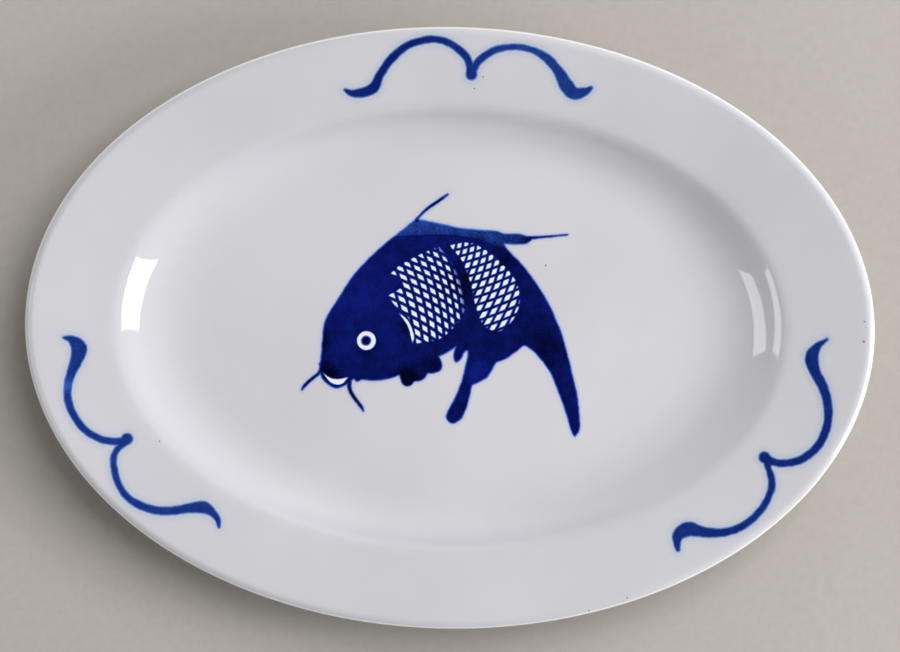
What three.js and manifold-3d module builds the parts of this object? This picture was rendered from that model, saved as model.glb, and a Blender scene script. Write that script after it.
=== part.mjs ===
// An oval serving platter: glazed porcelain, painted by hand in cobalt blue under the glaze.
// Millimetres, +Z up. The origin is on the table under the middle of the platter, +X runs along its
// length, and +Y to the side that the carp's back faces.

import * as THREE from "three";
import { mergeVertices } from "three/addons/utils/BufferGeometryUtils.js";
import Module from "manifold-3d";

// The fired clay body.
const LIP_LENGTH = 304; // over the lip, end to end
const LIP_WIDTH = 215; // over the lip, side to side
const RIM_AT_ENDS = 29.5; // from lip to shoulder, along the length
const RIM_AT_SIDES = 26; // from lip to shoulder, across the width
const WALL_AT_ENDS = 30; // from shoulder to flat floor, along the length
const WALL_AT_SIDES = 19; // from shoulder to flat floor, across the width
const RIM_RISE = 5.5; // lip above the shoulder
const WELL_DEPTH = 12; // shoulder above the floor
const BODY_THICKNESS = 4.5; // floor, wall and rim alike
const FOOT_HEIGHT = 3.5; // from the table to the underside of the floor
const FOOT_FACE = 3; // width of the foot's bearing face
const FOOT_DRAFT = 1.2; // lean of each side of the foot, in towards the bearing face

// The layers on the body. The paint lies in the seat between body and glaze.
const PAINT_THICKNESS = 0.2;
const PAINT_CLEARANCE = 0.05; // above and below the paint
const GLAZE_THICKNESS = 0.3;
const BARE_FOOT = 1.2; // height of the unglazed band round the foot
const PAINT_SEAM = 0.3; // between the carp's body and its paler fin

// How finely the curves are cut.
const GIRTH_STEPS = 64;
const WALL_STEPS = 5;
const LIP_STEPS = 4; // an even number, so that one step ends at the outermost point
const OUTLINE_STEPS = 2; // per stretch between two points of an outline
const STROKE_STEPS = 2; // per stretch between two points of a brush stroke

const floorHeight = FOOT_HEIGHT + BODY_THICKNESS;
const shoulderHeight = floorHeight + WELL_DEPTH;
const lipHeight = shoulderHeight + RIM_RISE;
const glazeSeat = PAINT_THICKNESS + 2 * PAINT_CLEARANCE;

const wasm = await Module();
wasm.setup();

// The clay body's cross-section. A station is one oval ring: its reach along the length, its reach
// across the width, and its height. The section runs from the middle of the floor out over the lip
// and back underneath to the middle of the base.

function station(end, side, height) {
  return { end, side, height };
}

const lip = { end: LIP_LENGTH / 2, side: LIP_WIDTH / 2 };
const shoulder = { end: lip.end - RIM_AT_ENDS, side: lip.side - RIM_AT_SIDES };
const floor = { end: shoulder.end - WALL_AT_ENDS, side: shoulder.side - WALL_AT_SIDES };

// The wall sweeps up from the floor, is steepest just under the shoulder, and runs out into the rim.
function wallStations() {
  const sweep = 0.65; // share of the wall's run that the floor's direction holds
  const turn = 0.2; // share of the wall's run that the rim's direction holds
  const rimSlope = (RIM_RISE / RIM_AT_ENDS) * WALL_AT_ENDS;
  const curve = new THREE.CubicBezierCurve(
    new THREE.Vector2(0, 0),
    new THREE.Vector2(sweep, 0),
    new THREE.Vector2(1 - turn, WELL_DEPTH - turn * rimSlope),
    new THREE.Vector2(1, WELL_DEPTH),
  );
  const onWall = (p) =>
    station(floor.end + p.x * WALL_AT_ENDS, floor.side + p.x * WALL_AT_SIDES, floorHeight + p.y);
  return curve.getPoints(WALL_STEPS).map(onWall);
}

// The lip is a half round as thick as the rim, square to the rim's slope.
function lipStations() {
  const radius = BODY_THICKNESS / 2;
  const slope = Math.atan2(RIM_RISE, (RIM_AT_ENDS + RIM_AT_SIDES) / 2);
  const stations = [];
  for (let i = 0; i <= LIP_STEPS; i++) {
    const angle = slope + Math.PI / 2 - (Math.PI * i) / LIP_STEPS;
    const out = radius * (Math.cos(angle) - 1);
    stations.push(station(lip.end + out, lip.side + out, lipHeight + radius * (Math.sin(angle) - 1)));
  }
  return stations;
}

// Stations moved square to the section, outwards from the clay where the distance is positive.
function offset(stations, distance) {
  const turned = (reach) =>
    stations.map((here, i) => {
      const before = stations[Math.max(i - 1, 0)];
      const after = stations[Math.min(i + 1, stations.length - 1)];
      const square = (from, to) =>
        new THREE.Vector2(from.height - to.height, to[reach] - from[reach]).normalize();
      const first = i > 0 ? square(before, here) : square(here, after);
      const second = i < stations.length - 1 ? square(here, after) : first;
      return first.clone().add(second).multiplyScalar(distance / (1 + first.dot(second)));
    });
  const ends = turned("end");
  const sides = turned("side");
  return stations.map((s, i) => {
    const height = s.height + (ends[i].y + sides[i].y) / 2;
    return s.end > 0 ? station(s.end + ends[i].x, s.side + sides[i].x, height) : station(0, 0, height);
  });
}

const floorMiddle = station(0, 0, floorHeight);
const face = [floorMiddle, ...wallStations(), ...lipStations()];
const underWall = offset(face.slice(0, WALL_STEPS + 3), -BODY_THICKNESS)
  .slice(1, -1)
  .reverse();
const footEdge = (inwards, height) => station(floor.end - inwards, floor.side - inwards, height);
const footInside = 2 * FOOT_DRAFT + FOOT_FACE;
const foot = [
  footEdge(FOOT_DRAFT, 0),
  footEdge(FOOT_DRAFT + FOOT_FACE, 0),
  footEdge(footInside, FOOT_HEIGHT),
];
const baseMiddle = station(0, 0, FOOT_HEIGHT);

// A closed solid of oval rings between two middle points.
function loft(stations) {
  const rings = stations.slice(1, -1);
  const position = [];
  for (const ring of rings) {
    for (let j = 0; j < GIRTH_STEPS; j++) {
      const angle = (2 * Math.PI * j) / GIRTH_STEPS;
      position.push(ring.end * Math.cos(angle), ring.side * Math.sin(angle), ring.height);
    }
  }
  const first = rings.length * GIRTH_STEPS;
  const last = first + 1;
  position.push(0, 0, stations[0].height, 0, 0, stations.at(-1).height);
  const index = [];
  const lastRing = (rings.length - 1) * GIRTH_STEPS;
  for (let j = 0; j < GIRTH_STEPS; j++) {
    const next = (j + 1) % GIRTH_STEPS;
    index.push(first, j, next);
    for (let row = 0; row < lastRing; row += GIRTH_STEPS) {
      const outer = row + GIRTH_STEPS;
      index.push(row + j, outer + j, outer + next);
      index.push(row + j, outer + next, row + next);
    }
    index.push(lastRing + j, last, lastRing + next);
  }
  const geometry = new THREE.BufferGeometry();
  geometry.setAttribute("position", new THREE.Float32BufferAttribute(position, 3));
  geometry.setIndex(index);
  return geometry;
}

// A layer over a stretch of the body's surface, from one distance off the clay to another.
function layer(stations, from, to) {
  return loft([...offset(stations, to), ...offset(stations, from).reverse()]);
}

// Joining and cutting.

function solid(geometry) {
  const bare = geometry.clone();
  bare.deleteAttribute("normal");
  bare.deleteAttribute("uv");
  const merged = mergeVertices(bare);
  return new wasm.Manifold(
    new wasm.Mesh({
      numProp: 3,
      vertProperties: new Float32Array(merged.attributes.position.array),
      triVerts: new Uint32Array(merged.index.array),
    }),
  );
}

function geometryOf(made) {
  const mesh = made.getMesh();
  const geometry = new THREE.BufferGeometry();
  geometry.setAttribute("position", new THREE.Float32BufferAttribute(mesh.vertProperties, 3));
  geometry.setIndex([...mesh.triVerts]);
  geometry.computeVertexNormals();
  return geometry;
}

// Painting. A painted shape is drawn in plan, and the paint follows the face under it.

function smooth(points, steps, closed = false) {
  const knots = points.map((p) => new THREE.Vector3(p[0], p[1], p[2] ?? 0));
  const curve = new THREE.CatmullRomCurve3(knots, closed, "centripetal");
  const spans = closed ? knots.length : knots.length - 1;
  return curve.getPoints(steps * spans);
}

// An outline of several runs. Each run is smooth, and they meet at corners.
function outline(...runs) {
  return runs.flatMap((run) => smooth(run, OUTLINE_STEPS).slice(0, -1));
}

function ring(points) {
  return smooth(points, OUTLINE_STEPS, true).slice(0, -1);
}

function disc([x, y], radius) {
  const steps = 16;
  return Array.from({ length: steps }, (_, i) => {
    const angle = (2 * Math.PI * i) / steps;
    return new THREE.Vector2(x + radius * Math.cos(angle), y + radius * Math.sin(angle));
  });
}

// A brush stroke's points hold the place and the width that the brush was pressed to.
function stroke(points, steps = STROKE_STEPS) {
  const line = smooth(points, steps);
  const edge = (sign) =>
    line.map((p, i) => {
      const before = line[Math.max(i - 1, 0)];
      const after = line[Math.min(i + 1, line.length - 1)];
      const along = new THREE.Vector2(after.x - before.x, after.y - before.y).normalize();
      const half = (sign * p.z) / 2;
      return new THREE.Vector2(p.x - along.y * half, p.y + along.x * half);
    });
  return [...edge(-1), ...edge(1).reverse()];
}

// An upright prism through the whole face.
function prism(points, holes = []) {
  const flat = (list) => list.map((p) => new THREE.Vector2(p.x, p.y));
  const shape = new THREE.Shape(flat(points));
  shape.holes = holes.map((hole) => new THREE.Path(flat(hole)));
  const geometry = new THREE.ExtrudeGeometry(shape, { depth: lipHeight, bevelEnabled: false });
  geometry.translate(0, 0, FOOT_HEIGHT);
  return solid(geometry);
}

const paintedFace = solid(
  layer(face.slice(0, -LIP_STEPS / 2), PAINT_CLEARANCE, PAINT_CLEARANCE + PAINT_THICKNESS),
);

function painted(prisms) {
  return geometryOf(wasm.Manifold.union(prisms).intersect(paintedFace));
}

// The carp, drawn from the middle of the well.

const dorsalSeam = [
  [19.3, 30.2], [13.6, 30.8], [10.6, 32.2], [5.5, 33.2], [-1.1, 33.9], [-9.2, 33.7], [-17.3, 32.9],
  [-21.3, 32],
];
const back = [
  [-21.3, 32], [-26, 28.1], [-33.2, 20.8], [-36.6, 16.4], [-40.2, 10.4], [-43.6, 5.2], [-45.4, 1.9],
  [-46.2, -1.8], [-46.7, -9.1], [-47.4, -16.7],
];
const lowerLip = [
  [-47.4, -16.7], [-45.9, -19.8], [-44.2, -21.4], [-42, -22.5], [-40.3, -22.6], [-38.4, -21.9],
  [-34.7, -19.3],
];
const chin = [[-34.7, -19.3], [-33.7, -20.2], [-31.5, -19.5], [-27, -19.8], [-21.5, -18.8], [-18.1, -17.5]];
const breastFinFront = [[-18.1, -17.5], [-17.4, -20], [-15.8, -21.5], [-14, -21.2], [-12.7, -19.8]];
const breastFinMiddle = [[-12.7, -19.8], [-10.6, -19.6], [-8.7, -18.3], [-7.8, -16.9]];
const breastFinRear = [[-7.8, -16.9], [-5.6, -16.6], [-3.2, -15.5], [-2.6, -13.6], [-3.9, -10.4]];
const belly = [[-3.9, -10.4], [-1.5, -9.4], [0.3, -8.3], [2.2, -6.9]];
const bellyFinStub = [
  [2.2, -6.9], [1.8, -11], [2.7, -12.4], [4.1, -11.5], [5.3, -9.2], [6.4, -8.3], [7.1, -10.2],
];
const bellyFin = [
  [7.1, -10.2], [4.9, -19.3], [2.5, -25.9], [0, -30.7], [-0.4, -33], [1.3, -34.9], [4.3, -33.5], [6.2, -30],
  [7.6, -25], [8.4, -20.7],
];
const ventFin = [[8.4, -20.7], [10.4, -19.9], [13.7, -18], [15.1, -16], [17.1, -12.3]];
const tailLowerEdge = [
  [17.1, -12.3], [20.6, -10.9], [24.6, -8], [27.3, -6.1], [29.7, -7.3], [33.4, -10.5], [37.2, -15.4],
  [40.6, -22.5], [43.3, -29.4], [46, -38], [46.9, -39],
];
const tailUpperEdge = [
  [46.9, -39], [48.3, -36.5], [47.4, -25.9], [45.5, -17.8], [42.9, -8], [40.6, -1], [36.8, 7.7], [33, 14.1],
  [29.6, 19], [25.5, 23.9], [21, 28.6], [19.3, 30.2],
];
const mouthTop = [[-46.1, -17.4], [-42.8, -19.4], [-40.6, -19.6], [-36.9, -18.8]];
const mouthBottom = [[-36.9, -18.8], [-38.6, -21.2], [-40.7, -21.8], [-43.1, -20.9], [-46.1, -17.4]];
const gillRear = [[-18.7, 5], [-16.4, 3.3], [-14.8, 0.9], [-13.7, -1.8], [-13.3, -3.8], [-13.7, -5.8]];
const gillFront = [[-13.7, -5.8], [-14.2, -3.8], [-14.6, -1.8], [-15.7, 0.9], [-18.7, 5]];
const eyeMiddle = [-30.4, -5.3];
const eyeRadius = 3.6;
const pupilMiddle = [-30.6, -5.5];
const pupilRadius = 1.6;

// Each field of scales is a reserve crossed by two families of thin strokes. The middle of a scale is
// found by counting scales along and down the net, whose steps fan and bend a little.
const frontFieldTop = [[-5.1, 29.6], [-12, 26.3], [-19.3, 22], [-21.5, 19.8]];
const frontFieldNotch = [[-21.5, 19.8], [-19, 18.9], [-18.2, 16.1], [-18.7, 13.9], [-22.7, 11.4]];
const frontFieldGill = [[-22.7, 11.4], [-19.9, 8.9], [-16.4, 3.7], [-13.3, -1.6], [-12.6, -6.4]];
const frontFieldRear = [
  [-12.6, -6.4], [-7.5, -5.8], [-3.3, -4.7], [-0.1, -2.5], [2.6, 0.3], [4.4, 3.5], [5.4, 6.8],
  [4.8, 11.6], [3.4, 16.4], [-1.7, 25], [-5.1, 29.6],
];
const rearField = [
  [-0.3, 30.4], [6.9, 31.1], [13.4, 28.7], [18.9, 24.3], [23.8, 18.4], [25.8, 11.4], [24.1, 2.8],
  [18.2, -1.6], [12.5, 1], [9.5, 7.4], [7.4, 16], [3.8, 24.8],
];
const frontScales = {
  reserve: outline(frontFieldTop, frontFieldNotch, frontFieldGill, frontFieldRear),
  middle: [-6.4, 13.3],
  along: [3.27, -1.69],
  down: [0.9, -3.3],
  fan: [-0.11, -0.06],
  bendAlong: [-0.11, -0.02],
  bendDown: [-0.06, -0.03],
};
const rearScales = {
  reserve: ring(rearField),
  middle: [15.1, 17.9],
  along: [3.1, 1.2],
  down: [-1.11, -3.28],
  fan: [0.13, -0.01],
  bendAlong: [-0.02, 0.05],
  bendDown: [-0.11, -0.04],
};
const NET_STROKE = 0.85; // width of a stroke of the net
const NET_ROOT = 1.03; // growth of the reserve that lets the strokes run into the paint round it

function netPoint(net, along, down) {
  return [0, 1].map(
    (axis) =>
      net.middle[axis] +
      along * net.along[axis] +
      down * net.down[axis] +
      along * down * net.fan[axis] +
      along * along * net.bendAlong[axis] +
      down * down * net.bendDown[axis],
  );
}

function scaleNet(net) {
  const reach = 7; // scales counted each way from the middle
  const strokes = [];
  for (let line = -reach; line < reach; line++) {
    const across = [];
    const downwards = [];
    for (let step = -reach; step <= reach; step += 2) {
      across.push([...netPoint(net, step, line + 0.5), NET_STROKE]);
      downwards.push([...netPoint(net, line + 0.5, step), NET_STROKE]);
    }
    strokes.push(prism(stroke(across, 1)), prism(stroke(downwards, 1)));
  }
  const middle = net.reserve
    .reduce((sum, p) => sum.add(p), new THREE.Vector3())
    .divideScalar(net.reserve.length);
  const grown = net.reserve.map((p) => p.clone().sub(middle).multiplyScalar(NET_ROOT).add(middle));
  return wasm.Manifold.union(strokes).intersect(prism(grown));
}

const carpOutline = outline(
  dorsalSeam, back, lowerLip, chin, breastFinFront, breastFinMiddle, breastFinRear, belly, bellyFinStub,
  bellyFin, ventFin, tailLowerEdge, tailUpperEdge,
);
const carpReserves = [
  outline(mouthTop, mouthBottom),
  outline(gillRear, gillFront),
  disc(eyeMiddle, eyeRadius),
  frontScales.reserve,
  rearScales.reserve,
];
const finTop = [
  [-12.5, 39.5], [-4.1, 37.9], [3.2, 36.4], [10.6, 35.8], [16.8, 35.5], [19.4, 34.8], [24.5, 34.7],
  [29.3, 33.4],
];
const finRearEdge = [[27.2, 31.1], [24.6, 30.8]];
const finFrontEdge = [[-18.4, 35.4]];
const finSeam = dorsalSeam.map(([x, y]) => [x, y + PAINT_SEAM]);
const dorsalFinOutline = outline(
  finTop,
  [finTop.at(-1), ...finRearEdge, finSeam[0]],
  finSeam,
  [finSeam.at(-1), ...finFrontEdge, finTop[0]],
);
const barbelLeft = [
  [-47.8, -17.4, 0.8], [-49.4, -18.7, 0.8], [-51.4, -20.4, 0.7], [-53, -22.1, 0.6], [-53.8, -23.4, 0.4],
];
const barbelRight = [
  [-36.9, -21.6, 1.5], [-36.7, -22.6, 1.3], [-36.1, -24.4, 0.9], [-33.5, -28, 0.9], [-32, -29.8, 0.8],
  [-31.4, -31.1, 0.4],
];
const dorsalRay = [[-12.1, 40.3, 0.5], [-9.7, 42.7, 0.5], [-4.3, 46.7, 0.8], [-1.6, 48.7, 0.4]];
const dorsalStreamer = [[29.8, 33.4, 0.8], [35.9, 34, 0.5], [42.9, 34.8, 0.3]];

// The scrolls, drawn along the middle line of the rim. A point is its way round the rim from the
// scroll's dot, clockwise, its way out across the rim, and the width of the stroke there.

const rimMiddle = new THREE.EllipseCurve(0, 0, lip.end - RIM_AT_ENDS / 2, lip.side - RIM_AT_SIDES / 2);

function rimPoint(dotAngle, [round, across, width]) {
  const steps = 720;
  const lengths = rimMiddle.getLengths(steps);
  const girth = lengths[steps];
  const dotShare = lengths[Math.round((dotAngle / 360) * steps)] / girth;
  const share = (dotShare - round / girth + 1) % 1;
  const place = rimMiddle.getPointAt(share);
  const along = rimMiddle.getTangentAt(share);
  return [place.x + along.y * across, place.y - along.x * across, width];
}

const scrolls = {
  rim_scroll_top: {
    angle: 87.5,
    dot: [0.5, -2.6],
    lobes: [
      [
        [-46.5, -5.2, 0.7], [-43.9, -7.2, 2.2], [-39.5, -7.4, 3.2], [-35.9, -6, 3.6], [-32.6, -0.9, 2.9],
        [-27.8, 4.5, 2.5], [-21.9, 8.5, 2.3], [-14.4, 9.6, 2.3], [-8.3, 8.1, 2.3], [-3.2, 4.7, 2.5],
        [0.2, -1.8, 2.3],
      ],
      [
        [0.8, -1.8, 2.2], [4.4, 4.4, 2.3], [9.2, 7.4, 2.2], [15.3, 8.6, 2.2], [20.9, 8.2, 2.3],
        [26.3, 5.9, 2.9], [30.9, 2.3, 3.2], [35.2, -2.1, 4.7], [38.5, -4.3, 4.7], [42.2, -3, 2.9],
        [44.2, -0.6, 1.4],
      ],
    ],
  },
  rim_scroll_left: {
    angle: 209,
    dot: [0.2, -5.4],
    lobes: [
      [
        [-47.8, -2, 1.1], [-45.8, -4.4, 2.2], [-42.1, -5.6, 2.9], [-38.8, -5.4, 4.3], [-34.6, -2.4, 3.6],
        [-30.6, 1.6, 3.2], [-26.3, 5.1, 3.1], [-20.8, 7.6, 2.9], [-15.3, 8.6, 2.7], [-9.8, 7.3, 2.5],
        [-5.3, 5, 2.5], [-1.5, 1.8, 2.3], [0.1, -4.4, 2.2],
      ],
      [
        [0.3, -4.4, 2.4], [2, -1.9, 2.7], [5.6, 1.8, 2.7], [10.5, 4.5, 2.7], [16.1, 5.8, 2.7],
        [21.8, 5.8, 2.7], [26.4, 4.6, 2.9], [30.8, 2.3, 3.2], [35.2, -0.9, 4], [39.6, -2.7, 5],
        [42.8, -0.3, 2.2], [43.8, 2.2, 0.7],
      ],
    ],
  },
  rim_scroll_right: {
    angle: 329.5,
    dot: [0.2, -4.8],
    lobes: [
      [
        [-50.5, -1, 0.7], [-47.9, -4, 2.3], [-43.1, -5.3, 4.7], [-37.9, -2.9, 3.6], [-33.5, 1.1, 3.4],
        [-28.7, 4.5, 3.1], [-23.7, 6.7, 2.9], [-18.2, 7.8, 2.9], [-13, 7.6, 2.9], [-7.6, 5.8, 2.7],
        [-3.2, 2.7, 2.7], [-0.2, -3.8, 2.3],
      ],
      [
        [0.6, -3.8, 2.2], [5.2, 3.3, 2.5], [9.2, 5.8, 2.5], [14.2, 7.5, 2.5], [19.8, 8.1, 2.7],
        [25.5, 7.3, 2.9], [30.7, 5, 3.4], [35.3, 1.7, 3.8], [39.1, -1.4, 4.7], [43.5, -1, 2.9],
        [46.1, 3.6, 1.4],
      ],
    ],
  },
};
const SCROLL_DOT = 4.1; // diameter of the dot where a scroll's lobes meet

function scrollPrisms({ angle, dot, lobes }) {
  const onRim = (point) => rimPoint(angle, point);
  const strokes = lobes.map((points) => prism(stroke(points.map(onRim))));
  return [...strokes, prism(disc(onRim(dot), SCROLL_DOT / 2))];
}

// Finishes.

const clay = new THREE.MeshStandardMaterial({ color: 0xe4dfd6, roughness: 0.85, metalness: 0 });
const glaze = new THREE.MeshStandardMaterial({
  color: 0xe9eaee,
  roughness: 0.08,
  metalness: 0,
  transparent: true,
  opacity: 0.35,
});
const cobalt = new THREE.MeshStandardMaterial({ color: 0x10145f, roughness: 0.2, metalness: 0 });
const paleCobalt = new THREE.MeshStandardMaterial({ color: 0x2d3c96, roughness: 0.2, metalness: 0 });
const rimCobalt = new THREE.MeshStandardMaterial({ color: 0x1e378c, roughness: 0.2, metalness: 0 });

const platter = new THREE.Group();

function add(name, geometry, material) {
  const mesh = new THREE.Mesh(geometry, material);
  mesh.name = name;
  platter.add(mesh);
}

// Assembly: the fired body, the painting, and the glaze over both.

add("porcelain_body", loft([...face, ...underWall, ...foot, baseMiddle]), clay);

const carp = [prism(carpOutline, carpReserves), scaleNet(frontScales), scaleNet(rearScales)];
add("carp_body", painted(carp), cobalt);
add("carp_dorsal_fin", painted([prism(dorsalFinOutline)]), paleCobalt);
add("carp_pupil", painted([prism(disc(pupilMiddle, pupilRadius))]), cobalt);
add("carp_barbel_left", painted([prism(stroke(barbelLeft))]), cobalt);
add("carp_barbel_right", painted([prism(stroke(barbelRight))]), cobalt);
add("carp_dorsal_ray", painted([prism(stroke(dorsalRay))]), cobalt);
add("carp_dorsal_streamer", painted([prism(stroke(dorsalStreamer))]), cobalt);
for (const [name, scroll] of Object.entries(scrolls)) {
  add(name, painted(scrollPrisms(scroll)), rimCobalt);
}

const bareEdge = footEdge(FOOT_DRAFT * (1 - BARE_FOOT / FOOT_HEIGHT), BARE_FOOT);
add("face_glaze", layer([...face, ...underWall, bareEdge], glazeSeat, glazeSeat + GLAZE_THICKNESS), glaze);

const baseGlazeEdge = footEdge(footInside + glazeSeat, FOOT_HEIGHT);
add("base_glaze", layer([baseMiddle, baseGlazeEdge], -glazeSeat - GLAZE_THICKNESS, -glazeSeat), glaze);

export default platter;
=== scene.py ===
# An oval serving platter of glazed porcelain, painted by hand in cobalt blue under a clear glaze.
# Metres, +Z up. +X runs along the platter's length, and +Y to the side that the carp's back faces.

import math

import bpy
import numpy as np
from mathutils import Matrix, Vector


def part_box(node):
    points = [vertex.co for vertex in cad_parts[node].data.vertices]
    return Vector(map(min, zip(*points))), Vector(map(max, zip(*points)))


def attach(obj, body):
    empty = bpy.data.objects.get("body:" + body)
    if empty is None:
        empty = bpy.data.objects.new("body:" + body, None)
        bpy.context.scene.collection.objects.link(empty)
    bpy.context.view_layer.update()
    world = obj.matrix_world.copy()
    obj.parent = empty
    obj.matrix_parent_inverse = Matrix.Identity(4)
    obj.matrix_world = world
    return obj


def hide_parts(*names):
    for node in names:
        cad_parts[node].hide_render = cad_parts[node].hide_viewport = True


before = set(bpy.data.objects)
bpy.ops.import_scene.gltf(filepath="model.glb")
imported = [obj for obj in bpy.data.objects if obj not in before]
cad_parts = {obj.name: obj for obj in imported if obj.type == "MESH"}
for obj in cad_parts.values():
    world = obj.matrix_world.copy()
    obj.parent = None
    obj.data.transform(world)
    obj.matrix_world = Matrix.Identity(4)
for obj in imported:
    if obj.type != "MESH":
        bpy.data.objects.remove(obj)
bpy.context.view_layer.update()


# The fired body
# White porcelain clay pressed over an oval mould and fired in one piece: a flat well, a wall that sweeps
# up to the shoulder, a broad rim with a rounded lip, and a foot ring that is left bare for the kiln shelf.

MM = 0.001  # shapes are drawn in millimetres
LIP = np.array([152.0, 107.5])  # reach along the length and across the width
SHOULDER = np.array([122.5, 81.5])
FLOOR = np.array([92.5, 62.5])
LIP_HEIGHT = 25.5
SHOULDER_HEIGHT = 20.0
FLOOR_HEIGHT = 8.0
BODY_THICKNESS = 4.5
FLOOR_RINGS, WALL_RINGS, RIM_RINGS, LIP_RINGS = 14, 36, 26, 14
FLOOR_SWEEP = 0.65  # share of the wall's run that holds the floor's direction
SHOULDER_TURN = 0.2  # share of it that holds the rim's direction
LIP_RUN_IN = 8  # that the lip's slope reaches back into the rim
SHOULDER_EASING = 12  # times that each ring is drawn to the middle of its neighbours
BODY_GIRTH_STEPS = 256
SHARP_EDGE = 50  # degrees between two faces, past which the edge stays sharp
BARE_FOOT = 1.2  # height of the foot's unglazed band
FOOT_PROFILE = [  # in from the edge of the floor, and up from the table
    (0.3, 2.6), (0.95, 0.75), (1.15, 0.32), (1.5, 0.07), (1.9, 0), (3.5, 0), (3.9, 0.07), (4.25, 0.32),
    (4.45, 0.75), (5.1, 2.6), (5.3, 3.2), (5.9, 3.5),
]


def oval(reach, height):
    """One ring of the section: its reach along the length, its reach across the width, its height."""
    return np.array([*reach, height], float)


def curve(start, first, second, end, steps):
    """A soft curve from start to end, pulled towards the first and the second point."""
    t = np.linspace(0, 1, steps + 1)[:, None]
    near_start = (1 - t) ** 3 * start + 3 * (1 - t) ** 2 * t * first
    near_end = 3 * (1 - t) * t**2 * second + t**3 * end
    return near_start + near_end


def lip_lean():
    """The rim's slope at the lip."""
    return math.atan2(LIP_HEIGHT - SHOULDER_HEIGHT, (LIP - SHOULDER).mean())


def lip_section():
    """Rings of the half-round lip, as thick as the rim and square to its slope."""
    radius = BODY_THICKNESS / 2
    angles = lip_lean() + math.pi / 2 - np.linspace(0, math.pi, LIP_RINGS + 1)
    return np.array(
        [oval(LIP + radius * (math.cos(a) - 1), LIP_HEIGHT + radius * (math.sin(a) - 1)) for a in angles]
    )


def face_section():
    """Rings of the upper face, from the middle of the floor to the start of the lip."""
    wall = SHOULDER - FLOOR
    middle, edge = oval((0, 0), FLOOR_HEIGHT), oval(FLOOR, FLOOR_HEIGHT)
    shoulder, lip = oval(SHOULDER, SHOULDER_HEIGHT), lip_section()[0]
    rim_rise = (LIP_HEIGHT - SHOULDER_HEIGHT) / (LIP - SHOULDER)[0] * wall[0]
    off_floor = oval(FLOOR + FLOOR_SWEEP * wall, FLOOR_HEIGHT)
    into_rim = SHOULDER_TURN * oval(wall, rim_rise)
    into_lip = LIP_RUN_IN * oval([math.cos(lip_lean())] * 2, math.sin(lip_lean()))
    floor_rings = curve(middle, middle + (edge - middle) / 3, edge - (edge - middle) / 3, edge, FLOOR_RINGS)
    wall_rings = curve(edge, off_floor, shoulder - into_rim, shoulder, WALL_RINGS)
    rim_rings = curve(shoulder, shoulder + into_rim, lip - into_lip, lip, RIM_RINGS)
    rings = np.vstack([wall_rings, rim_rings[1:]])
    for _ in range(SHOULDER_EASING):
        rings[1:-1] = (rings[:-2] + 2 * rings[1:-1] + rings[2:]) / 4
    return np.vstack([floor_rings, rings[1:]])


def offset(section, distance):
    """The section moved square to itself, away from the clay where the distance is positive."""
    step = np.gradient(section, axis=0)
    ends = step[:, [0, 2]] / np.linalg.norm(step[:, [0, 2]], axis=1)[:, None]
    sides = step[:, [1, 2]] / np.linalg.norm(step[:, [1, 2]], axis=1)[:, None]
    return section + distance * np.column_stack([-ends[:, 1], -sides[:, 1], (ends[:, 0] + sides[:, 0]) / 2])


def mesh_piece(name, points, faces):
    """A piece from points in millimetres and faces that number them."""
    mesh = bpy.data.meshes.new(name)
    mesh.from_pydata((np.asarray(points) * MM).tolist(), [], faces)
    mesh.shade_smooth()
    mesh.set_sharp_from_angle(angle=math.radians(SHARP_EDGE))
    piece = bpy.data.objects.new(name, mesh)
    bpy.context.scene.collection.objects.link(piece)
    return piece


def lofted(name, section, girth_steps):
    """A closed mesh of oval rings between two middle points, which are the section's ends."""
    angles = np.linspace(0, 2 * math.pi, girth_steps, endpoint=False)
    rings = section[1:-1]
    x = np.outer(rings[:, 0], np.cos(angles))
    y = np.outer(rings[:, 1], np.sin(angles))
    z = np.repeat(rings[:, 2:], girth_steps, axis=1)
    points = np.stack([x, y, z], axis=-1).reshape(-1, 3)
    first, last = len(points), len(points) + 1
    points = np.vstack([points, [0, 0, section[0, 2]], [0, 0, section[-1, 2]]])
    here = np.arange(girth_steps)
    after = np.roll(here, -1)
    faces = np.column_stack([np.full(girth_steps, first), here, after]).tolist()
    for inner in range(0, (len(rings) - 1) * girth_steps, girth_steps):
        outer = inner + girth_steps
        faces += np.column_stack([inner + here, outer + here, outer + after, inner + after]).tolist()
    faces += np.column_stack([outer + here, np.full(girth_steps, last), outer + after]).tolist()
    return mesh_piece(name, points, faces)


def colour(*levels):
    """A colour from its red, green and blue on a screen, 0 to 255."""
    shares = [level / 255 for level in levels]
    return (*(s / 12.92 if s <= 0.04045 else ((s + 0.055) / 1.055) ** 2.4 for s in shares), 1)


def node(tree, kind, values=None, **settings):
    """A shader node. Values are given by input, as a number or as the socket that feeds it."""
    made = tree.nodes.new(kind)
    for setting, choice in settings.items():
        setattr(made, setting, choice)
    for socket, value in (values or {}).items():
        if isinstance(value, bpy.types.NodeSocket):
            tree.links.new(value, made.inputs[socket])
        else:
            made.inputs[socket].default_value = value
    return made


def noise(tree, place, scale, detail):
    """A random cloud from 0 to 1. Scale is about how many of its swells lie along a metre."""
    made = node(tree, "ShaderNodeTexNoise", {"Vector": place, "Scale": scale, "Detail": detail})
    return made.outputs["Fac"]


def ramp(tree, value, low, high, to_low=0.0, to_high=1.0):
    """The value's smooth way from low to high, as a number from to_low to to_high."""
    ends = {"From Min": low, "From Max": high, "To Min": to_low, "To Max": to_high}
    made = node(tree, "ShaderNodeMapRange", {"Value": value, **ends}, interpolation_type="SMOOTHSTEP")
    return made.outputs["Result"]


def maths(tree, operation, first, second, third=0.0):
    values = {0: first, 1: second, 2: third}
    return node(tree, "ShaderNodeMath", values, operation=operation).outputs[0]


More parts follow.
